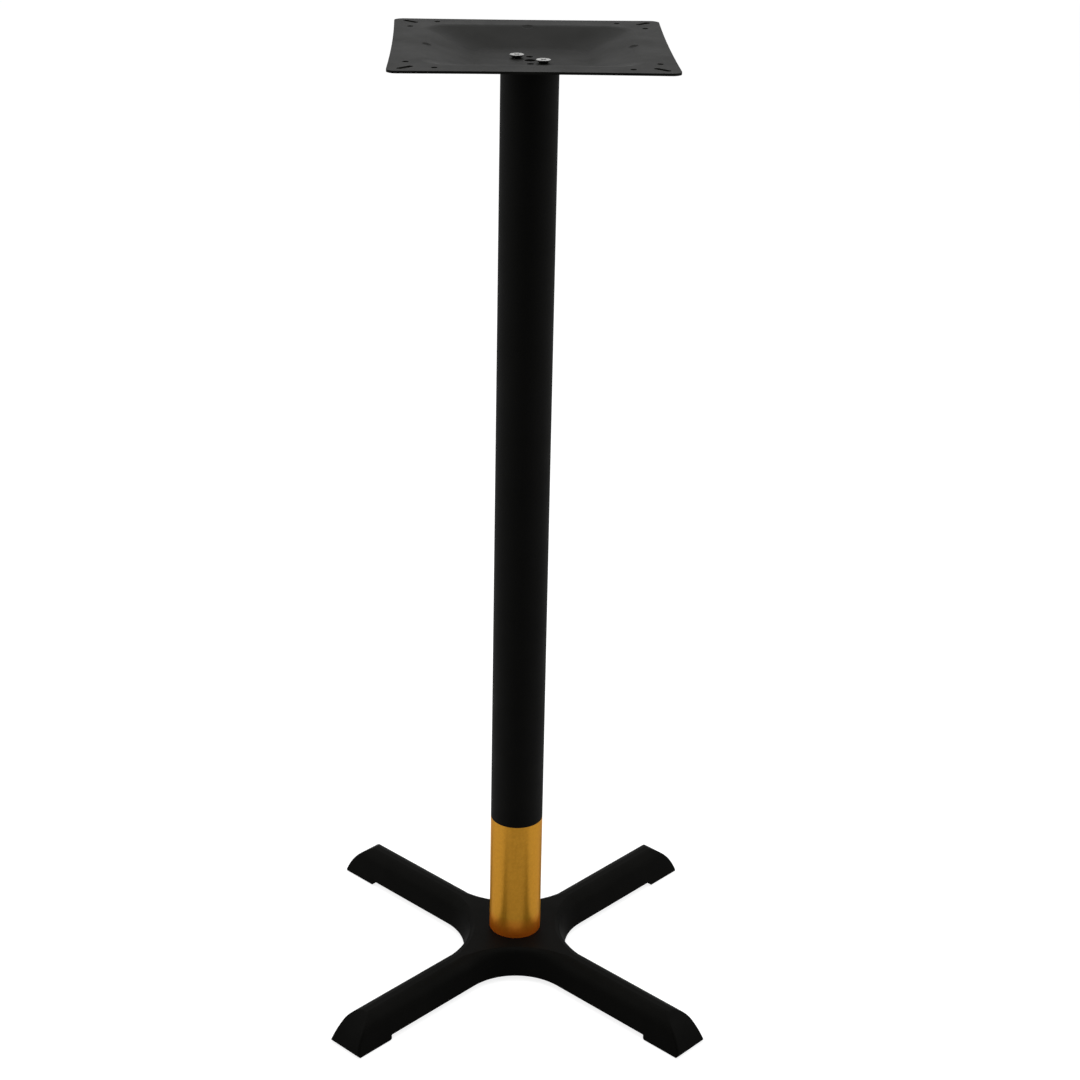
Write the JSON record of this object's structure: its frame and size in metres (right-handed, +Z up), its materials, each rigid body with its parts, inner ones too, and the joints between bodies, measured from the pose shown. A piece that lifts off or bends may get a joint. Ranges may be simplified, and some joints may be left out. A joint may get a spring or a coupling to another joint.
{
  "type": "bar table base",
  "caption": "Tall bar table base: cast cross foot with levelling glides, gold sleeve, black round column and a pressed square plate that takes the table top.",
  "frame": {"origin": "on the floor under the column's axis, level with the underside of the glides", "axes": "+Z up along the column, +X and +Y square to the edges of the top plate, legs on the diagonals"},
  "size_m": [0.4176, 0.4176, 1.08],
  "materials": {
    "casting_black": "matt black powder coat with a fine grain over cast iron",
    "column_black": "matt black powder coat on steel tube",
    "plate_black": "matt black powder coat on pressed sheet steel",
    "sleeve_gold": "satin gold, fine brushed",
    "screw_bright": "bright zinc plate",
    "steel_zinc": "zinc plate",
    "steel_bare": "plain mild steel",
    "pad_black": "black nylon"
  },
  "bodies": {
    "base": {"cross_base": "casting_black", "sleeve": "sleeve_gold", "column_tube": "column_black", "joiner": "steel_bare", "top_flange": "steel_bare", "tie_rod": "steel_zinc", "tie_washer": "steel_zinc", "spring_washer": "steel_zinc", "tie_nut": "steel_zinc", "top_plate": "plate_black", "plate_screws": "screw_bright"},
    "glide_fl": {"glide_pad_fl": "pad_black", "glide_stud_fl": "steel_zinc"},
    "glide_fr": {"glide_pad_fr": "pad_black", "glide_stud_fr": "steel_zinc"},
    "glide_bl": {"glide_pad_bl": "pad_black", "glide_stud_bl": "steel_zinc"},
    "glide_br": {"glide_pad_br": "pad_black", "glide_stud_br": "steel_zinc"}
  },
  "joints": [
    {"name": "level_fl", "type": "slide", "parent": "base", "child": "glide_fl", "axis": [0, 0, -1], "range_m": [0, 0.008]},
    {"name": "level_fr", "type": "slide", "parent": "base", "child": "glide_fr", "axis": [0, 0, -1], "range_m": [0, 0.008]},
    {"name": "level_bl", "type": "slide", "parent": "base", "child": "glide_bl", "axis": [0, 0, -1], "range_m": [0, 0.008]},
    {"name": "level_br", "type": "slide", "parent": "base", "child": "glide_br", "axis": [0, 0, -1], "range_m": [0, 0.008]}
  ]
}
